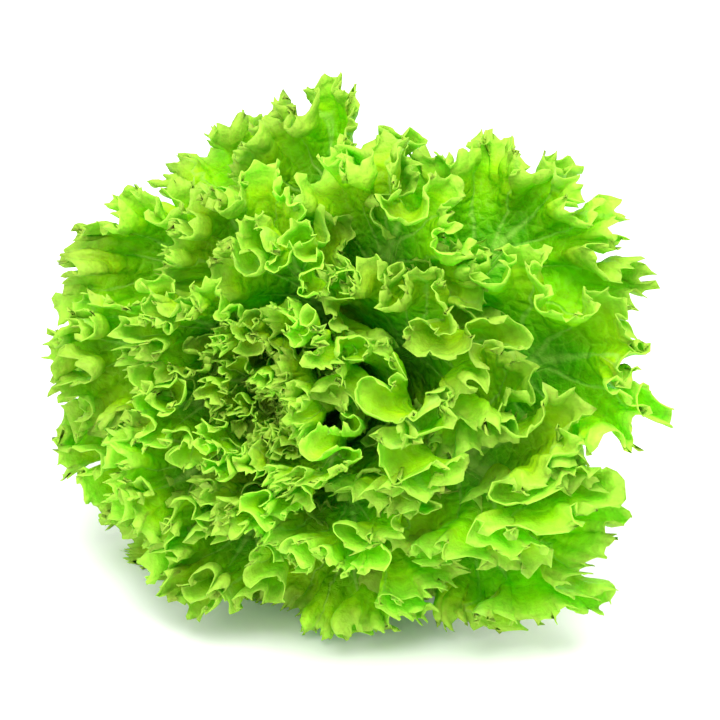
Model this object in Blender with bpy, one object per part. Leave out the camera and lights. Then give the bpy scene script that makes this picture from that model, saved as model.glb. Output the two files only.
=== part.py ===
"""A cut head of lollo bionda lettuce, lying on its side with its heart to the front.

The head is a short cut stem, large frilled leaves that stand round it in a spiral, and a
heart of small leaves grown together on the growing tip. Units are metres, +Z is up, and
the surface that the head lies on is z = 0.

Each leaf is a patch of a sheet turned about the head's axis. The sheets are nested, from
the widest and lowest to the most upright, so that no leaf runs through another one. A
leaf's margin is far longer than its blade, and buckles into frills that keep to the room
between the sheets.
"""

import math

import bmesh
import bpy
import numpy as np

MM = 0.001

# The head
LARGE_LEAVES = 27
HEART_LEAVES = 9
DIVERGENCE = math.radians(137.5)  # the turn from each leaf to the next one up the stem
FIRST_TURN = math.radians(135)
STEM_FOOT = (0.0166, 0.0356, 0.090)  # the middle of the cut, in the part's frame
AXIS_RISE = math.radians(15.3)  # how far above level the heart looks
AXIS_TURN = math.radians(-29)  # how far it looks to the left of straight ahead

# The stem, and the growing tip above it that the heart's leaves stand on
STEM_LENGTH = 50 * MM
STEM_TOP = 45 * MM
STEM_SIDES = 20
CUT_RADIUS = 16 * MM
STEM_TOP_RADIUS = 6.5 * MM
CUT_BEVEL = 1.2 * MM
CLEARANCE = 0.5 * MM
TIP_HEIGHT = 66 * MM
TIP_RINGS = 6
TIP_FROM, TIP_TO = math.radians(9), math.radians(85)  # how much of a quarter turn its dome has
TIP_FOOT = 0.9  # radius of its foot, as a share of the stem's there
STEM_RINGS = 6
LEAF_SUNK = 1.2 * MM  # how deep the foot of a heart leaf stands in the growing tip

# A leaf, where the first value is the outermost leaf's and the second the innermost's
LEAF_LENGTH = (149 * MM, 36 * MM)
LENGTH_BULGE = 23 * MM  # how much longer than in between the two the middle leaves are
ATTACHED_AT = (4 * MM, 60 * MM)  # height above the cut
BASE_ANGLE = (math.radians(76), math.radians(3))  # from the head's axis
TIP_ANGLE = (math.radians(114), math.radians(5))
WIDTH_TO_LENGTH = (1.0, 0.78)
PETIOLE_HALF_WIDTH = (11 * MM, 2.5 * MM)
WIDEST_AT = 0.62  # share of the length
WIDENING = 1.8  # above 1, the leaf is narrower near its foot
SPINE_END = 0.70  # where the midrib runs out into the blade, as a share of the length
SPINE_POWER = 1.0
LENGTH_SPREAD = 0.04
TURN_SPREAD = math.radians(3)
LEAN_EASE = 0.9  # how much of its easing the sheet's lean has gone through at the leaf's tip
SHEET_STEPS = 200
TIP_STEPS = 120  # steps of the outline from the tip to the widest place
SIDE_STEPS = 160  # and from there to the foot
MIDRIB_WIDTH = 0.42  # where the midrib has thinned out, as a share of the way to the margin

# Frills
FRILL_DEPTH = 0.080  # height of a frill, as a share of its distance along the leaf
FRILL_PITCH = 0.265  # length of one wave along the margin, as a share of the leaf's length
FRILL_EASE = 1.8
FRILL_START = 0.28  # the share of the way from midrib to margin where it begins
FRILL_PULL = 0.055  # how far a crest draws the margin back, as a share of the same
FRILL_LEAN = 0.030  # how far a fold leans over sideways, as a share of the same
FRILL_DRIFT = 0.9  # how far the folds stray from even steps, in radians
DRIFT_WAVES = 2.3 * math.pi  # of that straying, over half the margin
SWELL = 0.18  # by how much the folds' height differs round the margin
SWELL_WAVES = 5.1

# Walls
BLADE_THICKNESS = 0.8 * MM
MIDRIB_THICKNESS = (3.0 * MM, 1.2 * MM)  # at the foot of the outermost and innermost leaf

# The outline of the whole head, as the reach of its rim against a plain round one
REACH_DIRECTIONS = 12  # counted from the right, anticlockwise as seen from the front
REACH = (1.21, 1.035, 0.71, 0.97, 0.757, 0.73, 1.145, 0.93, 0.98, 0.78, 0.665, 0.955)
REACH_SHARPNESS = 14
REACH_FROM = 60 * MM  # distance from the axis where it has its full effect

# The surface below
FLOOR_SOFTNESS = 12 * MM
FLAT_SPOT = 3.5 * MM  # how far into the surface the leaves below would be pressed
FLOOR_SLIDE = 0.4  # how far forward a leaf bends there, as a share of the height it loses
PRESSED_BELOW = 24 * MM  # height under which the frills are pressed flatter
PRESSED_FRILLS = 0.75  # how much of their size they lose at the surface

SEED = 158

LEAF_ROWS = (0.0, 0.42, 0.74, 1.0)  # from the midrib to the margin
LEAF_COLUMNS = (14, 14, 28, 56)  # steps round the leaf in each row
HEART_ROWS = (0.0, 0.5, 1.0)
HEART_COLUMNS = (8, 8, 24)


def between(ends, share):
    return ends[0] + (ends[1] - ends[0]) * share


def smooth(x):
    x = np.clip(x, 0, 1)
    return x * x * (3 - 2 * x)


def head_axes():
    """Right, up and forward of the head: forward is its axis, from the cut to the heart."""
    forward = np.array((
        math.cos(AXIS_RISE) * math.sin(AXIS_TURN),
        -math.cos(AXIS_RISE) * math.cos(AXIS_TURN),
        math.sin(AXIS_RISE),
    ))
    right = np.cross((0, 0, 1), forward)
    right /= np.linalg.norm(right)
    return right, np.cross(forward, right), forward


def leaf_outline(length, width, petiole):
    """Half of a leaf's outline laid flat, from its tip to its foot, by share of the way."""
    turn = np.linspace(0, math.pi / 2, TIP_STEPS)
    top = (1 - WIDEST_AT) * length
    round_end = np.stack([width / 2 * np.sin(turn), WIDEST_AT * length + top * np.cos(turn)], 1)
    along = np.linspace(WIDEST_AT * length, 0, SIDE_STEPS)[1:]
    widen = np.sin(math.pi / 2 * np.clip(along / length / WIDEST_AT, 0, 1)) ** WIDENING
    side = np.stack([petiole + (width / 2 - petiole) * widen, along], 1)
    points = np.concatenate([round_end, side])
    steps = np.linalg.norm(np.diff(points, axis=0), axis=1)
    distance = np.concatenate([[0], np.cumsum(steps)])
    return distance / distance[-1], points, distance[-1]


class Leaf:
    """One leaf of the spiral. order runs from 0, the outermost, to 1, the innermost."""

    def __init__(self, number, rng):
        self.order = number / (LARGE_LEAVES + HEART_LEAVES - 1)
        self.turn = FIRST_TURN + number * DIVERGENCE + TURN_SPREAD * rng.uniform(-1, 1)
        length = between(LEAF_LENGTH, self.order) + LENGTH_BULGE * math.sin(math.pi * self.order)
        self.length = length * (1 + LENGTH_SPREAD * rng.uniform(-1, 1))
        width = self.length * between(WIDTH_TO_LENGTH, self.order)
        petiole = between(PETIOLE_HALF_WIDTH, self.order)
        self.share, self.outline, around = leaf_outline(self.length, width, petiole)
        self.waves = 2 * around / (FRILL_PITCH * self.length)
        self.phase = rng.uniform(0, math.tau)
        self.drift = rng.uniform(0, math.tau)
        self.swell = rng.uniform(0, math.tau)
        self.midrib = between(MIDRIB_THICKNESS, self.order)
        self.trace_sheet(number >= LARGE_LEAVES)

    def trace_sheet(self, in_heart):
        """The sheet's side view: distance from the axis and height by length along it."""
        self.along = np.linspace(0, self.length, SHEET_STEPS)
        base, tip = between(BASE_ANGLE, self.order), between(TIP_ANGLE, self.order)
        self.angle = base + (tip - base) * smooth(self.along / self.length * LEAN_EASE)
        height = between(ATTACHED_AT, self.order)
        off = -LEAF_SUNK if in_heart else CLEARANCE + self.midrib * math.cos(base)
        foot = stem_radius(height) + off
        step = self.along[1]
        self.radius = foot + np.cumsum(np.sin(self.angle)) * step
        self.height = height + np.cumsum(np.cos(self.angle)) * step

    def flat(self, column, row):
        """Place on the leaf laid flat: across and along it, and the column's direction."""
        c = np.abs(column)
        side = np.where(column < 0, -1.0, 1.0)
        margin_x = np.interp(c, self.share, self.outline[:, 0])
        margin_y = np.interp(c, self.share, self.outline[:, 1])
        spine_y = SPINE_END * self.length * (1 - np.minimum(c, 1)) ** SPINE_POWER
        rise = margin_y - spine_y
        reach = np.maximum(np.hypot(margin_x, rise), 1e-6)
        across = side * margin_x * row
        return across, spine_y + rise * row, side * margin_x / reach, rise / reach

    def margin_direction(self, column):
        """Direction along the margin, from the left foot by the tip to the right foot."""
        c = np.abs(column)
        tangent = np.gradient(self.outline, self.share, axis=0)
        tangent /= np.linalg.norm(tangent, axis=1)[:, None]
        across = np.interp(c, self.share, tangent[:, 0])
        along = np.interp(c, self.share, tangent[:, 1])
        return across, np.where(column < 0, -along, along)

    def wave(self, column):
        """Phase of the frill along the margin, and its height there, from -1 to 1."""
        phase = math.pi * self.waves * column + self.phase
        phase = phase + FRILL_DRIFT * np.sin(DRIFT_WAVES * column + self.drift)
        size = 1 - SWELL + SWELL * np.sin(SWELL_WAVES * column + self.swell)
        return phase, size * np.sin(phase)

    def surface(self, column, row):
        """Points of the leaf's middle surface, in the head's own frame: right, up, forward."""
        across, along, lead_x, lead_y = self.flat(column, row)
        edge_x, edge_y = self.margin_direction(column)
        radius = np.interp(along, self.along, self.radius)
        height = np.interp(along, self.along, self.height)
        angle = np.interp(along, self.along, self.angle)
        turn = self.turn + across / radius

        zero = np.zeros_like(turn)
        outward = np.stack([np.cos(turn), np.sin(turn), zero], -1)
        sideways = np.stack([-np.sin(turn), np.cos(turn), zero], -1)
        axis = np.array((0.0, 0.0, 1.0))
        up_leaf = np.sin(angle)[..., None] * outward + np.cos(angle)[..., None] * axis
        inward = np.sin(angle)[..., None] * axis - np.cos(angle)[..., None] * outward

        place = radius[..., None] * outward + height[..., None] * axis
        phase, wave = self.wave(column)
        grow = smooth((row - FRILL_START) / (1 - FRILL_START)) ** FRILL_EASE
        pressed = 1 - smooth(lie(place)[..., 2] / PRESSED_BELOW)
        grow = grow * along * (1 - PRESSED_FRILLS * pressed)
        lead = lead_x[..., None] * sideways + lead_y[..., None] * up_leaf
        edge = edge_x[..., None] * sideways + edge_y[..., None] * up_leaf
        place = place + inward * (FRILL_DEPTH * grow * wave)[..., None]
        place = place - lead * (FRILL_PULL * grow * wave**2)[..., None]
        return place + edge * (FRILL_LEAN * grow * np.sin(2 * phase))[..., None]

    def wall(self, column, row):
        """Thickness of the leaf: a rib at the midrib's foot that thins out into the blade."""
        _, along, _, _ = self.flat(column, row)
        rib = (1 - smooth(row / MIDRIB_WIDTH)) * (1 - smooth(along / (SPINE_END * self.length)))
        return BLADE_THICKNESS + (self.midrib - BLADE_THICKNESS) * rib


def stem_radius(height):
    return between((CUT_RADIUS, STEM_TOP_RADIUS), smooth(height / STEM_LENGTH))


def reach_of(direction):
    """The head's reach in a direction round its axis: a smooth blend of those given."""
    total, weights = 0.0, 0.0
    for index, reach in enumerate(REACH):
        facing = np.cos((direction - math.tau * index / REACH_DIRECTIONS) / 2) ** 2
        weight = facing**REACH_SHARPNESS
        total, weights = total + weight * reach, weights + weight
    return total / weights


def lie(points):
    """From the head's frame to the part's, with the whole head's outline."""
    right, up, forward = head_axes()
    reach = reach_of(np.arctan2(points[..., 1], points[..., 0]))
    spread = smooth(np.hypot(points[..., 0], points[..., 1]) / REACH_FROM)
    reach = (1 + (reach - 1) * spread)[..., None]
    lying = points[..., :1] * reach * right + points[..., 1:2] * reach * up
    return lying + points[..., 2:] * forward + np.array(STEM_FOOT)


def settle(points):
    """Where the points of the head lie once the surface below has pressed the leaves."""
    lying = lie(points)
    height = lying[..., 2]
    pressed = FLOOR_SOFTNESS * np.exp(np.minimum(height / FLOOR_SOFTNESS - 1, 0))
    pressed = np.where(height < FLOOR_SOFTNESS, pressed, height)
    lost = pressed - height
    lying[..., 0] += FLOOR_SLIDE * lost * math.sin(AXIS_TURN)
    lying[..., 1] -= FLOOR_SLIDE * lost * math.cos(AXIS_TURN)
    lying[..., 2] = pressed - FLAT_SPOT
    return lying


def leaf_grid(rows, columns):
    """Columns and rows of a leaf's points, and its triangles. The midrib's are shared."""
    column, row, index = [], [], []
    for number, (share, steps) in enumerate(zip(rows, columns)):
        if number == 0:
            first = len(column)
            column += list(np.linspace(0, 1, steps // 2 + 1))
            row += [share] * (steps // 2 + 1)
            index.append([first + abs(step - steps // 2) for step in range(steps + 1)])
        else:
            index.append(list(range(len(column), len(column) + steps + 1)))
            column += list(np.linspace(-1, 1, steps + 1))
            row += [share] * (steps + 1)
    faces = []
    for inner, outer in zip(index, index[1:]):
        steps = len(inner) - 1
        split = (len(outer) - 1) // steps
        for step in range(steps):
            fan = outer[step * split:(step + 1) * split + 1]
            on_left = step < steps // 2
            from_tip = steps // 2 - 1 - step if on_left else step - steps // 2
            turn_at = (split + 1) // 2 if from_tip % 2 else split // 2
            if not on_left:
                turn_at = split - turn_at
            for k in range(split):
                faces.append((inner[step] if k < turn_at else inner[step + 1], fan[k + 1], fan[k]))
            faces.append((inner[step], inner[step + 1], fan[turn_at]))
    left = [line[0] for line in index]
    right = [line[-1] for line in index]
    border = left + index[-1][1:] + right[-2:0:-1]
    faces = [face for face in faces if len(set(face)) == 3]
    return np.array(column), np.array(row), faces, border


def corner_normals(points, faces):
    """Unit normals of the surface's points, from the faces round each."""
    corners = points[faces]
    across = np.cross(corners[:, 1] - corners[:, 0], corners[:, 2] - corners[:, 0])
    normals = np.zeros_like(points)
    for corner in range(3):
        np.add.at(normals, faces[:, corner], across)
    return normals / np.linalg.norm(normals, axis=1)[:, None]


def leaf_shell(leaf, rows, columns):
    """Points and faces of a leaf with its wall: the heart's side, the back and the rim."""
    column, row, faces, border = leaf_grid(rows, columns)
    middle = settle(leaf.surface(column, row))
    faces = np.array(faces)
    to_back = corner_normals(middle, faces)
    half = BLADE_THICKNESS / 2
    front = middle - to_back * half
    back = middle + to_back * (leaf.wall(column, row) - half)[:, None]
    front[:, 2] = np.maximum(front[:, 2], BLADE_THICKNESS)
    back[:, 2] = np.maximum(back[:, 2], 0)
    count = len(middle)
    shell = [tuple(face[::-1]) for face in faces] + [tuple(face + count) for face in faces]
    for a, b in zip(border, border[1:] + border[:1]):
        shell += [(a + count, b + count, b), (a + count, b, a)]
    return np.concatenate([front, back]), shell


def turned(profile, sides):
    """Points and faces of a solid turned about the head's axis from its foot to its top."""
    turn = np.arange(sides) * math.tau / sides
    rings = [np.stack([radius * np.cos(turn), radius * np.sin(turn), np.full(sides, height)], 1)
             for radius, height in profile]
    ends = [(0, 0, profile[0][1]), (0, 0, profile[-1][1])]
    points = np.concatenate(rings + [ends])
    foot, top = len(points) - 2, len(points) - 1
    faces = []
    for side in range(sides):
        beside = (side + 1) % sides
        faces.append((foot, beside, side))
        for ring in range(len(profile) - 1):
            a, b = ring * sides + side, ring * sides + beside
            faces += [(a, b, b + sides), (a, b + sides, a + sides)]
        last = (len(profile) - 1) * sides
        faces.append((top, last + side, last + beside))
    return settle(points), faces


def stem_profile():
    heights = np.linspace(CUT_BEVEL, STEM_TOP - CUT_BEVEL, STEM_RINGS)
    side = [(stem_radius(height), height) for height in heights]
    top = (stem_radius(STEM_TOP) - CUT_BEVEL, STEM_TOP)
    return [(CUT_RADIUS - CUT_BEVEL, 0)] + side + [top]


def tip_profile():
    foot = STEM_TOP + CLEARANCE
    lean = np.linspace(TIP_FROM, TIP_TO, TIP_RINGS)
    radius = stem_radius(foot)
    dome = [(radius * math.cos(a), foot + (TIP_HEIGHT - foot) * math.sin(a)) for a in lean]
    return [(radius * TIP_FOOT, foot)] + dome


def solid(name, points, faces, material):
    mesh = bpy.data.meshes.new(name)
    mesh.from_pydata([tuple(point) for point in points], [], [tuple(int(i) for i in f) for f in faces])
    mesh.materials.append(material)
    mesh.shade_smooth()
    made = bpy.data.objects.new(name, mesh)
    bpy.context.scene.collection.objects.link(made)
    return made


def grown_together(name, bodies):
    """The bodies as one solid, with what they close in filled up."""
    joined, others = bodies[0], bodies[1:]
    group = bpy.data.collections.new(name)
    for other in others:
        group.objects.link(other)
    union = joined.modifiers.new(name, "BOOLEAN")
    union.operation = "UNION"
    union.operand_type = "COLLECTION"
    union.collection = group
    union.solver = "MANIFOLD"
    bpy.context.view_layer.update()
    depsgraph = bpy.context.evaluated_depsgraph_get()
    mesh = bpy.data.meshes.new_from_object(joined.evaluated_get(depsgraph))
    for old in bodies:
        bpy.data.objects.remove(old)
    bpy.data.collections.remove(group)
    keep_outside(mesh)
    made = bpy.data.objects.new(name, mesh)
    bpy.context.scene.collection.objects.link(made)
    return made


def keep_outside(mesh):
    """Leaves only the largest of the mesh's separate shells."""
    body = bmesh.new()
    body.from_mesh(mesh)
    left, shells = set(body.faces), []
    while left:
        shell, edge_of = set(), [next(iter(left))]
        while edge_of:
            face = edge_of.pop()
            if face in shell:
                continue
            shell.add(face)
            edge_of += [other for edge in face.edges for other in edge.link_faces]
        shells.append(shell)
        left -= shell
    shells.sort(key=lambda shell: sum(face.calc_area() for face in shell))
    for shell in shells[:-1]:
        bmesh.ops.delete(body, geom=list(shell), context="FACES")
    bmesh.ops.triangulate(body, faces=body.faces)
    body.to_mesh(mesh)
    body.free()


def paint(name, colour, roughness):
    material = bpy.data.materials.new(name)
    material.use_nodes = True
    shader = material.node_tree.nodes["Principled BSDF"]
    shader.inputs["Base Color"].default_value = (*colour, 1)
    shader.inputs["Roughness"].default_value = roughness
    shader.inputs["Metallic"].default_value = 0
    return material


def clear_scene():
    for old in list(bpy.data.objects):
        bpy.data.objects.remove(old)


def main():
    clear_scene()
    leaf_green = paint("leaf green", (0.30, 0.62, 0.04), 0.45)
    heart_green = paint("heart green", (0.22, 0.52, 0.03), 0.45)
    stem_white = paint("stem", (0.66, 0.72, 0.38), 0.5)
    rng = np.random.default_rng(SEED)
    leaves = [Leaf(number, rng) for number in range(LARGE_LEAVES + HEART_LEAVES)]
    for number, leaf in enumerate(leaves[:LARGE_LEAVES]):
        points, faces = leaf_shell(leaf, LEAF_ROWS, LEAF_COLUMNS)
        solid(f"leaf_{number + 1:02d}", points, faces, leaf_green)
    heart = [solid("tip", *turned(tip_profile(), STEM_SIDES), heart_green)]
    for leaf in leaves[LARGE_LEAVES:]:
        heart.append(solid("small", *leaf_shell(leaf, HEART_ROWS, HEART_COLUMNS), heart_green))
    grown_together("heart", heart)
    solid("stem", *turned(stem_profile(), STEM_SIDES), stem_white)


main()
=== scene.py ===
"""Looks for a cut head of lollo bionda lettuce that lies on its side, heart to the front.

The head is dressed in the order in which it is put together: the cut stem, the large frilled
leaves from the outermost inwards, the small leaves of the heart, and then the studio.
"""

import math
import bpy
import numpy as np
from mathutils import Matrix, Vector


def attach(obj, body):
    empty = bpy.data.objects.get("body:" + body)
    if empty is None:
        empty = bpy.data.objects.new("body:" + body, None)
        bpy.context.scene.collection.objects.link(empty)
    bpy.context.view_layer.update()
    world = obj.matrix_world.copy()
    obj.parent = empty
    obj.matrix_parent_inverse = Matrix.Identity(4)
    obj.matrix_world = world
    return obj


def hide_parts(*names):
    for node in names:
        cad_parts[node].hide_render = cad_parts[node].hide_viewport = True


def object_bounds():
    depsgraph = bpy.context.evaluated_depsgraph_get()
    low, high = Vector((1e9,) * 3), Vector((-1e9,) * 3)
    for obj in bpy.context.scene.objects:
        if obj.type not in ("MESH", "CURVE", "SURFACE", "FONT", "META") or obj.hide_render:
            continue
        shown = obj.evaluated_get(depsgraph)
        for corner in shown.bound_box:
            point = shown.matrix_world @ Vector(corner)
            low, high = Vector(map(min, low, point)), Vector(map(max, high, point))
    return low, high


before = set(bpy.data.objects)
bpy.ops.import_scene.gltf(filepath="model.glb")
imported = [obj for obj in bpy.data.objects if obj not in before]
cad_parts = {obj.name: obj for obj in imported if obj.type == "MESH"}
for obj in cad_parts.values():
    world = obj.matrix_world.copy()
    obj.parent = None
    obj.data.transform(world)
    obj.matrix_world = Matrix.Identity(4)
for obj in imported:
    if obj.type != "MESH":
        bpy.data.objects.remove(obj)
cad_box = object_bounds()

# The stem
# A short core of pale, crisp tissue, cut across with a knife just below the lowest leaves.
# The cut has dried a little and browned at its rim, and old leaf scars ring its side.
MM = 0.001
STEM_FOOT = np.array((0.0166, 0.0356, 0.090))
AXIS_RISE = math.radians(15.3)
AXIS_TURN = math.radians(-29)
STEM_LENGTH = 50 * MM
STEM_TOP = 45 * MM
CUT_RADIUS = 16 * MM
STEM_TOP_RADIUS = 6.5 * MM
CUT_BEVEL = 1.2 * MM
STEM_SIDES = 96
DIVERGENCE = math.radians(137.5)
FIRST_TURN = math.radians(135)
REACH = (1.21, 1.035, 0.71, 0.97, 0.757, 0.73, 1.145, 0.93, 0.98, 0.78, 0.665, 0.955)
REACH_SHARPNESS = 14
REACH_FROM = 60 * MM
FLOOR_SOFTNESS = 12 * MM
FLOOR_SLIDE = 0.4
FLAT_SPOT = 3.5 * MM


def smooth(x):
    x = np.clip(x, 0, 1)
    return x * x * (3 - 2 * x)


def between(ends, share):
    return ends[0] + (ends[1] - ends[0]) * share


def stem_radius(height):
    return between((CUT_RADIUS, STEM_TOP_RADIUS), smooth(height / STEM_LENGTH))


def lie(points):
    """From the head's own frame, right, up and forward to the heart, to where it lies."""
    forward = np.array((
        math.cos(AXIS_RISE) * math.sin(AXIS_TURN),
        -math.cos(AXIS_RISE) * math.cos(AXIS_TURN),
        math.sin(AXIS_RISE),
    ))
    right = np.cross((0, 0, 1), forward)
    right /= np.linalg.norm(right)
    up = np.cross(forward, right)
    direction = np.arctan2(points[:, 1], points[:, 0])
    turns = direction[:, None] - math.tau * np.arange(len(REACH)) / len(REACH)
    weights = (np.cos(turns / 2) ** 2) ** REACH_SHARPNESS
    reach = (weights * REACH).sum(1) / weights.sum(1)
    spread = smooth(np.hypot(points[:, 0], points[:, 1]) / REACH_FROM)
    reach = (1 + (reach - 1) * spread)[:, None]
    flat = points[:, :1] * reach * right + points[:, 1:2] * reach * up
    return flat + points[:, 2:] * forward + STEM_FOOT


def settle(points):
    """Lays the points down: the surface below bends the lowest leaves forward over it."""
    lying = lie(points)
    height = lying[:, 2]
    pressed = FLOOR_SOFTNESS * np.exp(np.minimum(height / FLOOR_SOFTNESS - 1, 0))
    pressed = np.where(height < FLOOR_SOFTNESS, pressed, height)
    lost = pressed - height
    lying[:, 0] += FLOOR_SLIDE * lost * math.sin(AXIS_TURN)
    lying[:, 1] -= FLOOR_SLIDE * lost * math.cos(AXIS_TURN)
    lying[:, 2] = pressed - FLAT_SPOT
    return lying


def piece(name, points, faces, material):
    """A mesh object at the origin from points and faces, smoothly shaded."""
    mesh = bpy.data.meshes.new(name)
    mesh.from_pydata(points.tolist(), [], [tuple(face) for face in faces])
    mesh.materials.append(material)
    mesh.shade_smooth()
    made = bpy.data.objects.new(name, mesh)
    bpy.context.scene.collection.objects.link(made)
    return made


def add(tree, kind, inputs, **settings):
    """A node of a kind, with its settings, and with its inputs linked or set."""
    node = tree.nodes.new(kind)
    for name, value in settings.items():
        setattr(node, name, value)
    for key, value in inputs.items():
        if isinstance(value, bpy.types.NodeSocket):
            tree.links.new(value, node.inputs[key])
        else:
            node.inputs[key].default_value = value
    return node


def reckon(tree, operation, *terms):
    """The result of a Math node on terms that are sockets or numbers."""
    return add(tree, "ShaderNodeMath", dict(enumerate(terms)), operation=operation).outputs[0]


def new_material(name):
    material = bpy.data.materials.new(name)
    material.use_nodes = True
    tree = material.node_tree
    tree.nodes.clear()
    return material, tree


def set_fields(mesh, fields):
    """Stores each field on the mesh's points, under its own name."""
    for name, values in fields.items():
        kind = "FLOAT_VECTOR" if values.ndim == 2 else "FLOAT"
        mesh.attributes.new(name, kind, "POINT")
        mesh.attributes[name].data.foreach_set("vector" if values.ndim == 2 else "value", values.ravel())


def ring_at(radius, height):
    """A ring of points round the stem's axis. The radius is a number, or one for each point."""
    turn = np.arange(STEM_SIDES) * math.tau / STEM_SIDES
    return np.stack([radius * np.cos(turn), radius * np.sin(turn), np.full(STEM_SIDES, height)], 1)


def ring_faces(rings):
    """A wall from each ring to the next, and a flat end at the first and the last."""
    faces = [tuple(range(STEM_SIDES))[::-1]]
    for ring in range(rings - 1):
        for side in range(STEM_SIDES):
            a, b = ring * STEM_SIDES + side, ring * STEM_SIDES + (side + 1) % STEM_SIDES
            faces.append((a, b, b + STEM_SIDES, a + STEM_SIDES))
    last = (rings - 1) * STEM_SIDES
    faces.append(tuple(range(last, last + STEM_SIDES)))
    return faces


stem_flesh, tree = new_material("stem flesh")
spot = add(tree, "ShaderNodeTexCoord", {}).outputs["Object"]
from_core = add(tree, "ShaderNodeAttribute", {}, attribute_name="from_core").outputs["Fac"]
from_cut = add(tree, "ShaderNodeAttribute", {}, attribute_name="from_cut").outputs["Fac"]
mottle = add(tree, "ShaderNodeTexNoise", {"Vector": spot, "Scale": 90.0, "Detail": 5.0}).outputs["Fac"]
tint = add(tree, "ShaderNodeValToRGB", {"Fac": mottle})
tint.color_ramp.elements[0].color = (0.50, 0.56, 0.22, 1)
tint.color_ramp.elements[0].position = 0.3
tint.color_ramp.elements[1].color = (0.80, 0.82, 0.52, 1)
tint.color_ramp.elements[1].position = 0.7
blotch = add(tree, "ShaderNodeTexNoise", {"Vector": spot, "Scale": 400.0, "Detail": 2.0}).outputs["Fac"]
ragged = reckon(tree, "MULTIPLY_ADD", blotch, 0.16, reckon(tree, "SUBTRACT", from_core, 0.08))
rim = add(tree, "ShaderNodeMapRange", {"Value": ragged, "From Min": 0.86, "From Max": 0.98}).outputs[0]
low = add(tree, "ShaderNodeMapRange", {"Value": from_cut, "From Min": 0.0040, "From Max": 0.0008}).outputs[0]
vessels = add(tree, "ShaderNodeMapRange", {
    "Value": reckon(tree, "ABSOLUTE", reckon(tree, "SUBTRACT", ragged, 0.72)), "From Min": 0.06,
    "From Max": 0.0}).outputs[0]
browned = reckon(tree, "MULTIPLY", reckon(tree, "MULTIPLY_ADD", vessels, 0.35, rim), low)
tint = add(tree, "ShaderNodeMix", {0: reckon(tree, "MULTIPLY", browned, 0.75), 6: tint.outputs[0],
                                   7: (0.36, 0.19, 0.06, 1)}, data_type="RGBA").outputs[2]
relief = reckon(tree, "MULTIPLY_ADD", blotch, 0.5, mottle)
grain = add(tree, "ShaderNodeBump", {"Height": relief, "Strength": 0.4, "Distance": 0.0006}).outputs[0]
skin = add(tree, "ShaderNodeBsdfPrincipled", {"Base Color": tint, "Roughness": 0.42, "Normal": grain})
skin.inputs["Subsurface Weight"].default_value = 0.15
skin.inputs["Subsurface Radius"].default_value = (0.004, 0.004, 0.001)
add(tree, "ShaderNodeOutputMaterial", {"Surface": skin.outputs[0]})

CUT_MIDDLE = 0.02
CUT_RINGS = 16
CUT_HOLLOW = 0.8 * MM
HOLLOW_POWER = 3
SCARRED_SIDE = (0.4 * MM, 6 * MM)
PLAIN_SIDE = 7 * MM
SIDE_RINGS = 24
SCARS = 5
SCAR_TURN = FIRST_TURN - DIVERGENCE
SCARS_FROM_CUT = (3.4 * MM, 1.6 * MM)
SCAR_WIDTH = 7 * MM
SCAR_TALLNESS = 0.7 * MM
SCAR_RISE = 0.5 * MM
shares = np.linspace(CUT_MIDDLE, 1 - CUT_BEVEL / CUT_RADIUS, CUT_RINGS)
profile = [(CUT_RADIUS * share, CUT_HOLLOW * (1 - share ** HOLLOW_POWER)) for share in shares]
scarred_heights = np.linspace(*SCARRED_SIDE, SIDE_RINGS)
heights = np.concatenate([scarred_heights, np.linspace(PLAIN_SIDE, STEM_TOP - CUT_BEVEL, SIDE_RINGS)])
profile += [(stem_radius(height), height) for height in heights]
profile += [(STEM_TOP_RADIUS - CUT_BEVEL, STEM_TOP)]
turn = np.arange(STEM_SIDES) * math.tau / STEM_SIDES
rings, core, cut = [], [], []
for radius, height in profile:
    scarred = np.zeros(STEM_SIDES)
    if height >= heights[0] and radius >= STEM_TOP_RADIUS:
        for scar in range(SCARS):
            aside = (turn - SCAR_TURN + scar * DIVERGENCE + math.pi) % math.tau - math.pi
            above = height - between(SCARS_FROM_CUT, scar / (SCARS - 1))
            off = (aside * radius / SCAR_WIDTH) ** 2 + (above / SCAR_TALLNESS) ** 2
            scarred += SCAR_RISE * np.exp(-off)
    rings.append(ring_at(radius + scarred, height))
    core.append(np.full(STEM_SIDES, radius / CUT_RADIUS))
    cut.append(np.full(STEM_SIDES, height))
stem = piece("cut_stem", settle(np.concatenate(rings)), ring_faces(len(rings)), stem_flesh)
set_fields(stem.data, {"from_core": np.concatenate(core), "from_cut": np.concatenate(cut)})
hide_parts("stem")
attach(stem, "root")

# The large leaves
# Thin crisp blades on pale, flat midribs, which stand round the stem in a spiral of 137.5
# degrees. A margin is several times as long as its blade, so it buckles into frills on frills.
LARGE_LEAVES = 27
HEART_LEAVES = 9
SEED = 158
LEAF_LENGTH = (149 * MM, 36 * MM)
LENGTH_BULGE = 23 * MM
LENGTH_SPREAD = 0.04
TURN_SPREAD = math.radians(3)
ATTACHED_AT = (4 * MM, 60 * MM)
BASE_ANGLE = (math.radians(76), math.radians(3))
TIP_ANGLE = (math.radians(114), math.radians(5))
WIDTH_TO_LENGTH = (1.0, 0.78)
PETIOLE_HALF_WIDTH = (11 * MM, 2.5 * MM)
WIDEST_AT = 0.62
WIDENING = 1.8
SPINE_END = 0.70
CLEARANCE = 0.5 * MM
LEAF_SUNK = 1.2 * MM
FOOT_SUNK = 1.5 * MM
FOOT_REACH = 12 * MM
LEAN_EASE = 0.9
SHEET_STEPS = 200
TIP_STEPS = 120
SIDE_STEPS = 160
FRILL_PITCH = 0.265
FRILL_DRIFT = 0.9
DRIFT_WAVES = 2.3 * math.pi
SWELL = 0.18
SWELL_WAVES = 5.1
PRESSED_BELOW = 24 * MM
PRESSED_FRILLS = 0.75
CURL = (0.07, 0.18)
CURL_START = 0.35
CURL_EASE = 0.7
CURL_KINDS = 10
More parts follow.
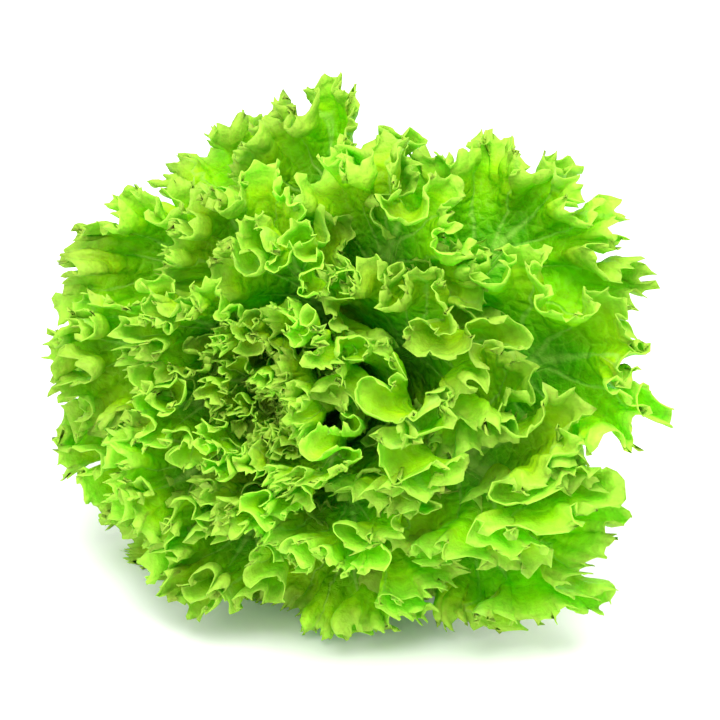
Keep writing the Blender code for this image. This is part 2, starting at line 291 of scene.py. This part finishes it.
CURL_STRIDE = 7
BLADE_THICKNESS = 0.4 * MM
MIDRIB_THICKNESS = (3.0 * MM, 1.2 * MM)
MIDRIB_WIDTH = 0.42
SECOND_RATIO = (2.1, 1.8)
SECOND_DEPTH = (0.066, 0.078)
SECOND_LEAN = (-0.018, -0.026)
THIRD_RATIO = (7.7, 6.1)
SEED_STEP = 3.7
LEAF_ROWS = ((0, 70), (0.14, 70), (0.27, 70), (0.38, 140), (0.48, 140), (0.56, 280), (0.63, 280),
             (0.69, 560), (0.745, 560), (0.79, 560), (0.83, 560), (0.87, 560), (0.905, 560),
             (0.94, 560), (0.97, 560), (1, 1120))


def keep_in_box(points):
    """Draws a leaf that stands out of the head's box evenly back towards the stem's foot."""
    low, high = np.array(cad_box[0]), np.array(cad_box[1])
    for axis, way in ((0, 1), (0, -1), (1, 1), (1, -1), (2, 1)):
        room = way * ((high if way > 0 else low)[axis] - STEM_FOOT[axis])
        ahead = way * (points[:, axis] - STEM_FOOT[axis])
        if ahead.max() > room:
            drawn = np.where(ahead > 0, ahead * room / ahead.max(), ahead)
            points[:, axis] = STEM_FOOT[axis] + way * drawn
    points[:, 2] = np.maximum(points[:, 2], low[2])
    return points


def places(mesh):
    points = np.empty(3 * len(mesh.vertices))
    mesh.vertices.foreach_get("co", points)
    return points.reshape(-1, 3)


def move_to(mesh, points):
    mesh.vertices.foreach_set("co", points.ravel())
    mesh.update()


def leaf_outline(length, width, petiole):
    """Half of a leaf's outline laid flat, from its tip to its foot, by share of the way."""
    turn = np.linspace(0, math.pi / 2, TIP_STEPS)
    top = (1 - WIDEST_AT) * length
    round_end = np.stack([width / 2 * np.sin(turn), WIDEST_AT * length + top * np.cos(turn)], 1)
    along = np.linspace(WIDEST_AT * length, 0, SIDE_STEPS)[1:]
    widen = np.sin(math.pi / 2 * np.clip(along / length / WIDEST_AT, 0, 1)) ** WIDENING
    side = np.stack([petiole + (width / 2 - petiole) * widen, along], 1)
    points = np.concatenate([round_end, side])
    distance = np.concatenate([[0], np.cumsum(np.linalg.norm(np.diff(points, axis=0), axis=1))])
    return distance / distance[-1], points, distance[-1]


def leaf_grid(rows):
    """A leaf's points by column and row, and its faces. The two halves share the midrib."""
    column, row, lines, count = [], [], [], 0
    for share, steps in rows:
        if share == 0:
            places_here = np.linspace(0, 1, steps // 2 + 1)
            lines.append(np.abs(np.arange(steps + 1) - steps // 2))
        else:
            places_here = np.linspace(-1, 1, steps + 1)
            lines.append(count + np.arange(steps + 1))
        column.append(places_here)
        row.append(np.full(len(places_here), float(share)))
        count += len(places_here)
    faces = []
    for inner, outer in zip(lines, lines[1:]):
        a, b = inner[:-1], inner[1:]
        if len(inner) == len(outer):
            faces += np.stack([a, b, outer[1:], outer[:-1]], 1).tolist()
        else:
            first, middle, last = outer[:-1:2], outer[1::2], outer[2::2]
            for three in ((a, middle, first), (a, b, middle), (b, last, middle)):
                faces += np.stack(three, 1).tolist()
    left, right = [int(line[0]) for line in lines], [int(line[-1]) for line in lines]
    border = left + lines[-1][1:].tolist() + right[-2:0:-1]
    return np.concatenate(column), np.concatenate(row), faces, border


def leaf_sheet(number, rng, column, row):
    """The leaf before it frills: its points in the head's frame, and what its frills go by."""
    order = number / (LARGE_LEAVES + HEART_LEAVES - 1)
    turn_to = FIRST_TURN + number * DIVERGENCE + TURN_SPREAD * rng.uniform(-1, 1)
    length = between(LEAF_LENGTH, order) + LENGTH_BULGE * math.sin(math.pi * order)
    length *= 1 + LENGTH_SPREAD * rng.uniform(-1, 1)
    width = length * between(WIDTH_TO_LENGTH, order)
    share, outline, around = leaf_outline(length, width, between(PETIOLE_HALF_WIDTH, order))
    waves = 2 * around / (FRILL_PITCH * length)
    first_phase, drift, swell = rng.uniform(0, math.tau), rng.uniform(0, math.tau), rng.uniform(0, math.tau)
    midrib = between(MIDRIB_THICKNESS, order)

    steps = np.linspace(0, length, SHEET_STEPS)
    base, tip = between(BASE_ANGLE, order), between(TIP_ANGLE, order)
    lean = base + (tip - base) * smooth(steps / length * LEAN_EASE)
    foot_height = between(ATTACHED_AT, order)
    off = -LEAF_SUNK if number >= LARGE_LEAVES else CLEARANCE + midrib * math.cos(base)
    sheet_radius = stem_radius(foot_height) + off + np.cumsum(np.sin(lean)) * steps[1]
    sheet_height = foot_height + np.cumsum(np.cos(lean)) * steps[1]

    c = np.abs(column)
    side = np.where(column < 0, -1.0, 1.0)
    margin_x = np.interp(c, share, outline[:, 0])
    margin_y = np.interp(c, share, outline[:, 1])
    spine_y = SPINE_END * length * (1 - c)
    rise = margin_y - spine_y
    reach = np.maximum(np.hypot(margin_x, rise), 1e-6)
    across, along = side * margin_x * row, spine_y + rise * row
    tangent = np.gradient(outline, share, axis=0)
    tangent /= np.linalg.norm(tangent, axis=1)[:, None]
    edge_x = np.interp(c, share, tangent[:, 0])
    edge_y = np.interp(c, share, tangent[:, 1]) * side

    radius = np.interp(along, steps, sheet_radius)
    angle = np.interp(along, steps, lean)
    turn = turn_to + across / radius
    zero = np.zeros_like(turn)
    outward = np.stack([np.cos(turn), np.sin(turn), zero], 1)
    sideways = np.stack([-np.sin(turn), np.cos(turn), zero], 1)
    up_leaf = np.sin(angle)[:, None] * outward + np.cos(angle)[:, None] * np.array((0, 0, 1.0))
    radius -= FOOT_SUNK * (1 - smooth(along / FOOT_REACH))
    height = np.interp(along, steps, sheet_height)
    place = radius[:, None] * outward + height[:, None] * np.array((0, 0, 1.0))
    inward = np.sin(angle)[:, None] * np.array((0, 0, 1.0)) - np.cos(angle)[:, None] * outward
    curl = between(CURL, (CURL_STRIDE * number % CURL_KINDS) / (CURL_KINDS - 1)) * along
    curl *= smooth((row - CURL_START) / (1 - CURL_START) * CURL_EASE) / smooth(CURL_EASE)

    calm = 1 - PRESSED_FRILLS * (1 - smooth(lie(place)[:, 2] / PRESSED_BELOW))
    phase = math.pi * waves * column + first_phase + FRILL_DRIFT * np.sin(DRIFT_WAVES * column + drift)
    rib = (1 - smooth(row / MIDRIB_WIDTH)) * (1 - smooth(along / (SPINE_END * length)))
    place = place + inward * (curl * calm)[:, None]
    fields = {
        "row": row,
        "phase": phase,
        "room": along * calm * (1 - SWELL + SWELL * np.sin(SWELL_WAVES * column + swell)),
        "edge": edge_x[:, None] * sideways + edge_y[:, None] * up_leaf,
        "lead": (side * margin_x / reach)[:, None] * sideways + (rise / reach)[:, None] * up_leaf,
        "blade": np.stack([across, along, np.full_like(along, number)], 1),
        "column": column,
        "wall": BLADE_THICKNESS + (midrib - BLADE_THICKNESS) * rib,
    }
    return place, fields


def steer(tree, operation, *terms):
    """The result of a Vector Math node on terms that are sockets or vectors."""
    node = add(tree, "ShaderNodeVectorMath", {}, operation=operation)
    for place, term in enumerate(terms):
        socket = node.inputs["Scale"] if operation == "SCALE" and place else node.inputs[place]
        if isinstance(term, bpy.types.NodeSocket):
            tree.links.new(term, socket)
        else:
            socket.default_value = term
    return node.outputs["Value"] if operation == "DOT_PRODUCT" else node.outputs["Vector"]


def open_tree(name, inputs):
    """A Geometry Nodes tree with a geometry and named numbers going in."""
    tree = bpy.data.node_groups.new(name, "GeometryNodeTree")
    tree.interface.new_socket("Geometry", in_out="INPUT", socket_type="NodeSocketGeometry")
    for label, value in inputs.items():
        socket = tree.interface.new_socket(label, in_out="INPUT", socket_type="NodeSocketFloat")
        socket.default_value = value
    tree.interface.new_socket("Geometry", in_out="OUTPUT", socket_type="NodeSocketGeometry")
    return tree, tree.nodes.new("NodeGroupInput").outputs


def field(tree, name, kind="FLOAT"):
    return add(tree, "GeometryNodeInputNamedAttribute", {"Name": name}, data_type=kind).outputs["Attribute"]


def ruffle_tree():
    """One size of frill: folds that run out to the margin, and deepen and lean over on the way."""
    tree, given = open_tree("Ruffle", {
        "Ratio": 1.0, "Depth": 0.08, "Pull": 0.05, "Lean": 0.03, "Start": 0.3,
        "Ease": 1.8, "Uneven": 0.0, "Bend": 0.0, "Seed": 0.0,
    })
    fold = reckon(tree, "MULTIPLY", field(tree, "phase"), given["Ratio"])
    spot = reckon(tree, "ADD", reckon(tree, "MULTIPLY", fold, 0.45), given["Seed"])
    chance = add(tree, "ShaderNodeTexNoise", {"W": spot, "Scale": 1.0, "Detail": 0.0}, noise_dimensions="1D")
    chance = reckon(tree, "SUBTRACT", chance.outputs[0], 0.5)
    other = add(tree, "ShaderNodeTexNoise", {"W": reckon(tree, "ADD", spot, 57.3), "Scale": 1.0,
                                             "Detail": 0.0}, noise_dimensions="1D")
    other = reckon(tree, "SUBTRACT", other.outputs[0], 0.5)
    bend = add(tree, "ShaderNodeTexNoise", {"Vector": field(tree, "blade", "FLOAT_VECTOR"), "Scale": 28.0,
                                            "Detail": 1.0})
    bend = reckon(tree, "SUBTRACT", bend.outputs[0], 0.5)
    wander = reckon(tree, "MULTIPLY", reckon(tree, "MULTIPLY", other, 4.0), given["Uneven"])
    wander = reckon(tree, "MULTIPLY_ADD", bend, given["Bend"], wander)
    fold = reckon(tree, "ADD", fold, wander)
    size = reckon(tree, "MULTIPLY_ADD", reckon(tree, "MULTIPLY", chance, 3.0), given["Uneven"], 1.0)
    size = reckon(tree, "MAXIMUM", size, 0.1)
    grow = add(tree, "ShaderNodeMapRange", {"Value": field(tree, "row"), "From Min": given["Start"]},
               interpolation_type="SMOOTHSTEP").outputs[0]
    grow = reckon(tree, "POWER", grow, given["Ease"])
    grow = reckon(tree, "MULTIPLY", reckon(tree, "MULTIPLY", grow, size), field(tree, "room"))
    wave = reckon(tree, "SINE", fold)
    square = reckon(tree, "MULTIPLY", wave, wave)
    twice = reckon(tree, "SINE", reckon(tree, "MULTIPLY", fold, 2.0))

    normal = add(tree, "GeometryNodeInputNormal", {}).outputs[0]
    flat = []
    for name in ("edge", "lead"):
        way = field(tree, name, "FLOAT_VECTOR")
        off = steer(tree, "SCALE", normal, steer(tree, "DOT_PRODUCT", way, normal))
        flat.append(steer(tree, "NORMALIZE", steer(tree, "SUBTRACT", way, off)))
    move = steer(tree, "SCALE", normal, reckon(tree, "MULTIPLY", reckon(tree, "MULTIPLY", grow, wave),
                                               reckon(tree, "MULTIPLY", given["Depth"], -1.0)))
    lean = reckon(tree, "MULTIPLY", reckon(tree, "MULTIPLY", grow, twice), given["Lean"])
    pull = reckon(tree, "MULTIPLY", reckon(tree, "MULTIPLY", grow, square), given["Pull"])
    move = steer(tree, "ADD", move, steer(tree, "SCALE", flat[0], lean))
    move = steer(tree, "SUBTRACT", move, steer(tree, "SCALE", flat[1], pull))
    moved = add(tree, "GeometryNodeSetPosition", {"Geometry": given["Geometry"], "Offset": move})
    add(tree, "NodeGroupOutput", {"Geometry": moved.outputs[0]})
    return tree


def frill_tree(ruffle):
    """A whole leaf's frills: three sizes of ruffle, blisters in the blade, teeth on the margin."""
    tree, given = open_tree("Frilled leaf", {
        "First depth": 0.125, "Second ratio": 3.1, "Second depth": 0.042, "Second lean": -0.013,
        "Third ratio": 7.7, "Third depth": 0.017, "Blister": 0.0020, "Tooth length": 0.0056,
        "Teeth": 13.0, "Seed": 0.0,
    })

    leaf = given["Geometry"]
    for inputs in (
        {"Depth": given["First depth"], "Pull": 0.045, "Lean": -0.026, "Start": 0.05, "Uneven": 0.4,
         "Bend": 2.5, "Seed": given["Seed"]},
        {"Ratio": given["Second ratio"], "Depth": given["Second depth"], "Pull": 0.02,
         "Lean": given["Second lean"], "Start": 0.32, "Ease": 2.1, "Uneven": 0.6, "Bend": 5.0,
         "Seed": given["Seed"]},
        {"Ratio": given["Third ratio"], "Depth": given["Third depth"], "Pull": 0.010, "Lean": -0.006,
         "Start": 0.68, "Ease": 1.4, "Uneven": 0.8, "Bend": 8.0,
         "Seed": reckon(tree, "ADD", given["Seed"], 31.0)},
    ):
        leaf = add(tree, "GeometryNodeGroup", {"Geometry": leaf, **inputs}, node_tree=ruffle).outputs[0]

    normal = add(tree, "GeometryNodeInputNormal", {}).outputs[0]
    blade = field(tree, "blade", "FLOAT_VECTOR")
    row = field(tree, "row")
    swelling = add(tree, "ShaderNodeTexNoise", {"Vector": blade, "Scale": 95.0, "Detail": 1.0})
    swelling = reckon(tree, "MULTIPLY", reckon(tree, "SUBTRACT", swelling.outputs[0], 0.5), given["Blister"])
    swelling = reckon(tree, "MULTIPLY", swelling, reckon(tree, "MULTIPLY", row, 4.0))
    move = steer(tree, "SCALE", normal, swelling)
    leaf = add(tree, "GeometryNodeSetPosition", {"Geometry": leaf, "Offset": move}).outputs[0]

    turn = reckon(tree, "MULTIPLY", field(tree, "phase"), given["Teeth"])
    tooth = reckon(tree, "PINGPONG", reckon(tree, "DIVIDE", turn, math.tau), 0.5)
    chance = add(tree, "ShaderNodeTexNoise", {"W": turn, "Scale": 0.11, "Detail": 1.0}, noise_dimensions="1D")
    tooth = reckon(tree, "POWER", reckon(tree, "MULTIPLY", tooth, 2.0), 1.6)
    chance = reckon(tree, "MULTIPLY_ADD", chance.outputs[0], 1.2, 0.35)
    tooth = reckon(tree, "MULTIPLY", tooth, chance)
    at_margin = reckon(tree, "GREATER_THAN", row, 0.985)
    along = add(tree, "ShaderNodeSeparateXYZ", {0: blade}).outputs[1]
    from_foot = add(tree, "ShaderNodeMapRange", {"Value": along, "From Min": 0.01,
                                                 "From Max": 0.08}).outputs[0]
    at_margin = reckon(tree, "MULTIPLY", at_margin, from_foot)
    tooth = reckon(tree, "MULTIPLY", reckon(tree, "MULTIPLY", tooth, at_margin), given["Tooth length"])
    lead = field(tree, "lead", "FLOAT_VECTOR")
    off = steer(tree, "SCALE", normal, steer(tree, "DOT_PRODUCT", lead, normal))
    lead = steer(tree, "NORMALIZE", steer(tree, "SUBTRACT", lead, off))
    leaf = add(tree, "GeometryNodeSetPosition", {
        "Geometry": leaf, "Offset": steer(tree, "SCALE", lead, tooth)}).outputs[0]

    real = add(tree, "GeometryNodeRealizeInstances", {"Geometry": leaf}).outputs[0]
    coated = add(tree, "GeometryNodeSetMaterial", {"Geometry": real, "Material": lettuce_leaf})
    add(tree, "NodeGroupOutput", {"Geometry": coated.outputs[0]})
    return tree


def frilled(name, place, faces, fields, tree, inputs):
    """Runs a leaf's sheet through the tree: its points and normals in the frills."""
    sheet = piece(name, place, faces, lettuce_leaf)
    set_fields(sheet.data, fields)
    modifier = sheet.modifiers.new("frills", "NODES")
    modifier.node_group = tree
    for item in tree.interface.items_tree:
        if item.in_out == "INPUT" and item.name in inputs:
            modifier[item.identifier] = inputs[item.name]
    bpy.context.view_layer.update()
    mesh = bpy.data.meshes.new_from_object(sheet.evaluated_get(bpy.context.evaluated_depsgraph_get()))
    move_to(mesh, settle(places(mesh)))
    to_back = np.empty(3 * len(mesh.vertices))
    mesh.vertex_normals.foreach_get("vector", to_back)
    middle = places(mesh)
    bpy.data.objects.remove(sheet)
    return middle, to_back.reshape(-1, 3)


def leaf(name, number, rng, grid, tree, inputs):
    """One leaf with its two sides and its margin, thicker along the midrib."""
    column, row, faces, border = grid
    place, fields = leaf_sheet(number, rng, column, row)
    middle, to_back = frilled(name, place, faces, fields, tree, inputs)
    half = BLADE_THICKNESS / 2
    count = len(middle)
    both = np.concatenate([middle - to_back * half, middle + to_back * (fields["wall"] - half)[:, None]])
    both = keep_in_box(both)
    both[:count, 2] = np.maximum(both[:count, 2], BLADE_THICKNESS)
    shell = [face[::-1] for face in faces] + [[point + count for point in face] for face in faces]
    for a, b in zip(border, border[1:] + border[:1]):
        shell.append((a + count, b + count, b, a))
    made = piece(name, both, shell, lettuce_leaf)
    set_fields(made.data, {kept: np.concatenate([fields[kept]] * 2) for kept in ("row", "blade", "column")})
    return made


def vein_group():
    """Veins in a leaf's flat coordinates: side veins to the margin, and a net between them."""
    tree = bpy.data.node_groups.new("Leaf veins", "ShaderNodeTree")
    for label, kind in (("Blade", "Vector"), ("Column", "Float"), ("Row", "Float"), ("Side veins", "Float")):
        tree.interface.new_socket(label, in_out="INPUT", socket_type="NodeSocket" + kind)
    for label in ("Veins", "Net", "Puff"):
        tree.interface.new_socket(label, in_out="OUTPUT", socket_type="NodeSocketFloat")
    given = tree.nodes.new("NodeGroupInput").outputs
    crook = add(tree, "ShaderNodeTexNoise", {"Vector": given["Blade"], "Scale": 60.0, "Detail": 2.0})
    crook = reckon(tree, "MULTIPLY", reckon(tree, "SUBTRACT", crook.outputs["Fac"], 0.5), 0.55)
    turn = reckon(tree, "MULTIPLY_ADD", given["Column"], given["Side veins"], crook)
    off = reckon(tree, "PINGPONG", turn, 0.5)
    off = reckon(tree, "MULTIPLY", off, reckon(tree, "ADD", given["Row"], 0.05))
    width = reckon(tree, "MULTIPLY_ADD", given["Row"], -0.030, 0.050)
    side = add(tree, "ShaderNodeMapRange", {"Value": off, "From Min": width, "From Max": 0.004},
               interpolation_type="SMOOTHSTEP").outputs[0]
    across = add(tree, "ShaderNodeSeparateXYZ", {0: given["Blade"]}).outputs[0]
    taper = reckon(tree, "MAXIMUM", reckon(tree, "MULTIPLY_ADD", given["Row"], -0.004, 0.0032), 0.0003)
    middle = add(tree, "ShaderNodeMapRange", {"Value": reckon(tree, "ABSOLUTE", across), "From Min": taper,
                                              "From Max": 0.0}, interpolation_type="SMOOTHSTEP").outputs[0]
    strayed = add(tree, "ShaderNodeTexNoise", {"Vector": given["Blade"], "Scale": 110.0, "Detail": 1.0})
    strayed = steer(tree, "MULTIPLY", strayed.outputs["Color"], (0.005, 0.005, 0.0))
    strayed = steer(tree, "ADD", given["Blade"], strayed)
    nets = []
    for scale, line in ((120.0, 0.09), (340.0, 0.12)):
        cells = add(tree, "ShaderNodeTexVoronoi", {"Vector": strayed, "Scale": scale},
                    feature="DISTANCE_TO_EDGE", voronoi_dimensions="2D")
        nets.append(cells.outputs["Distance"])
        nets.append(add(tree, "ShaderNodeMapRange", {"Value": nets[-1], "From Min": line, "From Max": 0.0},
                        interpolation_type="SMOOTHSTEP").outputs[0])
    puff = add(tree, "ShaderNodeMapRange", {"Value": nets[0], "From Max": 0.35},
               interpolation_type="SMOOTHSTEP").outputs[0]
    puff = reckon(tree, "MULTIPLY_ADD", nets[3], -0.15, puff)
    net = reckon(tree, "MULTIPLY_ADD", nets[3], 0.35, reckon(tree, "MULTIPLY", nets[1], 0.6))
    add(tree, "NodeGroupOutput", {"Veins": reckon(tree, "MAXIMUM", side, middle), "Net": net, "Puff": puff})
    return tree


lettuce_leaf, tree = new_material("lettuce leaf")
row = add(tree, "ShaderNodeAttribute", {}, attribute_name="row").outputs["Fac"]
column = add(tree, "ShaderNodeAttribute", {}, attribute_name="column").outputs["Fac"]
blade = add(tree, "ShaderNodeAttribute", {}, attribute_name="blade").outputs["Vector"]
veins = add(tree, "ShaderNodeGroup", {
    "Blade": blade, "Column": column, "Row": row, "Side veins": 8.0}, node_tree=vein_group())
# The leaf's colour runs by row from the midrib to the margin. The deep, saturated greens of the inner blade,
# darkest a quarter of the way out, are partly the leaf's own colour and partly painted shade for the pockets
# deep in the frills.
tint = add(tree, "ShaderNodeValToRGB", {"Fac": row})
tint.color_ramp.elements[0].color = (0.36, 0.68, 0.06, 1)
tint.color_ramp.elements[0].position = 0.0
tint.color_ramp.elements[1].color = (0.62, 0.87, 0.100, 1)
tint.color_ramp.elements[1].position = 1.0
for position, colour in ((0.25, (0.15, 0.60, 0.005, 1)), (0.55, (0.38, 0.77, 0.003, 1)),
                         (0.8, (0.57, 0.86, 0.010, 1))):
    tint.color_ramp.elements.new(position).color = colour
cloud = add(tree, "ShaderNodeTexNoise", {"Vector": blade, "Scale": 22.0, "Detail": 3.0}).outputs["Fac"]
cloud = add(tree, "ShaderNodeMapRange", {"Value": cloud, "From Min": 0.35, "From Max": 0.65, "To Min": 0.78,
                                         "To Max": 1.12}).outputs[0]
spot = add(tree, "ShaderNodeTexCoord", {}).outputs["Object"]
crumple = add(tree, "ShaderNodeTexNoise", {"Vector": spot, "Scale": 300.0, "Detail": 3.0}).outputs["Fac"]
fleck = add(tree, "ShaderNodeMapRange", {"Value": crumple, "From Min": 0.3, "From Max": 0.7, "To Min": 0.88,
                                         "To Max": 1.10}).outputs[0]
tint = steer(tree, "SCALE", tint.outputs[0], reckon(tree, "MULTIPLY", cloud, fleck))
for lines, strength, colour in (("Net", 0.32, (0.58, 0.87, 0.07, 1)), ("Veins", 0.55, (0.56, 0.80, 0.14, 1))):
    factor = reckon(tree, "MULTIPLY", veins.outputs[lines], strength)
    tint = add(tree, "ShaderNodeMix", {0: factor, 6: tint, 7: colour}, data_type="RGBA").outputs[2]
inner = add(tree, "ShaderNodeMapRange", {"Value": row, "From Min": 0.55, "From Max": 0.95, "To Min": 1.0,
                                         "To Max": 0.15}).outputs[0]
relief = reckon(tree, "MULTIPLY_ADD", veins.outputs["Veins"], -0.6, veins.outputs["Puff"])
relief = reckon(tree, "MULTIPLY", relief, inner)
relief = reckon(tree, "MULTIPLY_ADD", crumple, 1.6, relief)
crinkle = add(tree, "ShaderNodeBump", {"Height": relief, "Strength": 0.7, "Distance": 0.0010}).outputs[0]
skin = add(tree, "ShaderNodeBsdfPrincipled", {"Base Color": tint, "Roughness": 0.37,
                                              "Specular IOR Level": 0.11, "Normal": crinkle})
through = add(tree, "ShaderNodeMix", {0: 1.0, 6: tint, 7: (0.46, 1.0, 0.05, 1)}, data_type="RGBA",
              blend_type="MULTIPLY").outputs[2]
glow = add(tree, "ShaderNodeBsdfTranslucent", {"Color": through, "Normal": crinkle})
both = add(tree, "ShaderNodeMixShader", {0: 0.48, 1: skin.outputs[0], 2: glow.outputs[0]})
add(tree, "ShaderNodeOutputMaterial", {"Surface": both.outputs[0]})

ruffle = ruffle_tree()
frills = frill_tree(ruffle)
rng = np.random.default_rng(SEED)
large_grid = leaf_grid(LEAF_ROWS)
for number in range(LARGE_LEAVES):
    name = f"leaf_{number + 1:02d}"
    order = number / (LARGE_LEAVES - 1)
    made = leaf(f"frilled_{name}", number, rng, large_grid, frills, {
        "Second ratio": between(SECOND_RATIO, order), "Second depth": between(SECOND_DEPTH, order),
        "Second lean": between(SECOND_LEAN, order), "Third ratio": between(THIRD_RATIO, order),
        "Seed": SEED_STEP * number,
    })
    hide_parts(name)
    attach(made, "root")

# The heart
# Nine small leaves stand close round the growing tip, in the same spiral as the large ones.
# They are joined to the tip where they grow, so they and the tip are one piece.
HEART_ROWS = ((0, 48), (0.2, 48), (0.4, 96), (0.55, 192), (0.68, 384), (0.78, 384), (0.87, 384),
              (0.94, 384), (1, 384))
TIP_HEIGHT = 66 * MM
TIP_FOOT = 0.9
TIP_ROUNDING = (0.05, 0.99)
TIP_RINGS = 16
TIP_ROW = 0.4
heart_grid = leaf_grid(HEART_ROWS)
parts = []
for number in range(LARGE_LEAVES, LARGE_LEAVES + HEART_LEAVES):
    parts.append(leaf(f"small_{number}", number, rng, heart_grid, frills, {"Seed": SEED_STEP * number}))
tip_foot = STEM_TOP + CLEARANCE
tip_radius = stem_radius(tip_foot)
rings = [ring_at(tip_radius * TIP_FOOT, tip_foot)]
for lean in np.linspace(*TIP_ROUNDING, TIP_RINGS) * math.pi / 2:
    ring_height = tip_foot + (TIP_HEIGHT - tip_foot) * math.sin(lean)
    rings.append(ring_at(tip_radius * math.cos(lean), ring_height))
growing_tip = piece("growing_tip", settle(np.concatenate(rings)), ring_faces(len(rings)), lettuce_leaf)
count = len(growing_tip.data.vertices)
set_fields(growing_tip.data, {
    "row": np.full(count, TIP_ROW), "column": np.zeros(count), "blade": places(growing_tip.data),
})
parts.append(growing_tip)
with bpy.context.temp_override(active_object=parts[0], selected_editable_objects=parts):
    bpy.ops.object.join()
heart = parts[0]
heart.name = "heart_leaves"
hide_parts("heart")
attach(heart, "root")

# The studio
# A plain white floor that runs out of the picture, with one large soft light above the head and
# one to its left. The camera stands at the photograph's viewing angle.
FLOOR_HALF = 4.0
FLOOR_BELOW = 0.3 * MM
DAYLIGHT = 0.92
HEAD_MIDDLE = (0, 0, 0.1)
CAMERA_RISE = math.radians(28)
CAMERA_FROM = 1.1
CAMERA_LENS = 125
LOOK_AT = Vector((0.007, 0.0, 0.1075))
corners = [(x * FLOOR_HALF, y * FLOOR_HALF, -FLOOR_BELOW) for x, y in ((-1, -1), (1, -1), (1, 1), (-1, 1))]
white_floor, tree = new_material("white floor")
floor = piece("studio_floor", np.array(corners), [(0, 1, 2, 3)], white_floor)
card = add(tree, "ShaderNodeBsdfDiffuse", {"Color": (0.96, 0.96, 0.96, 1)})
add(tree, "ShaderNodeOutputMaterial", {"Surface": card.outputs[0]})

world = bpy.data.worlds.new("studio")
world.use_nodes = True
world.node_tree.nodes["Background"].inputs["Color"].default_value = (1, 1, 1, 1)
world.node_tree.nodes["Background"].inputs["Strength"].default_value = DAYLIGHT
bpy.context.scene.world = world


def towards(spot, aim):
    """The place of a lamp or a camera that stands at one point and looks at another."""
    way = Vector(aim) - Vector(spot)
    return Matrix.Translation(spot) @ way.to_track_quat("-Z", "Y").to_matrix().to_4x4()


def soft_light(name, spot, size, power):
    """A square soft light that looks at the middle of the head."""
    lamp = bpy.data.lights.new(name, "AREA")
    lamp.size = size
    lamp.energy = power
    made = bpy.data.objects.new(name, lamp)
    made.matrix_world = towards(spot, HEAD_MIDDLE)
    bpy.context.scene.collection.objects.link(made)


soft_light("key", (0.10, -0.55, 1.65), 1.2, 42)
soft_light("fill", (-1.2, -0.9, 0.8), 0.9, 9)

lens = bpy.data.cameras.new("camera")
lens.lens = CAMERA_LENS
camera = bpy.data.objects.new("camera", lens)
spot = LOOK_AT + CAMERA_FROM * Vector((0, -math.cos(CAMERA_RISE), math.sin(CAMERA_RISE)))
camera.matrix_world = towards(spot, LOOK_AT)
bpy.context.scene.collection.objects.link(camera)
bpy.context.scene.camera = camera
bpy.context.scene.view_settings.view_transform = "Standard"
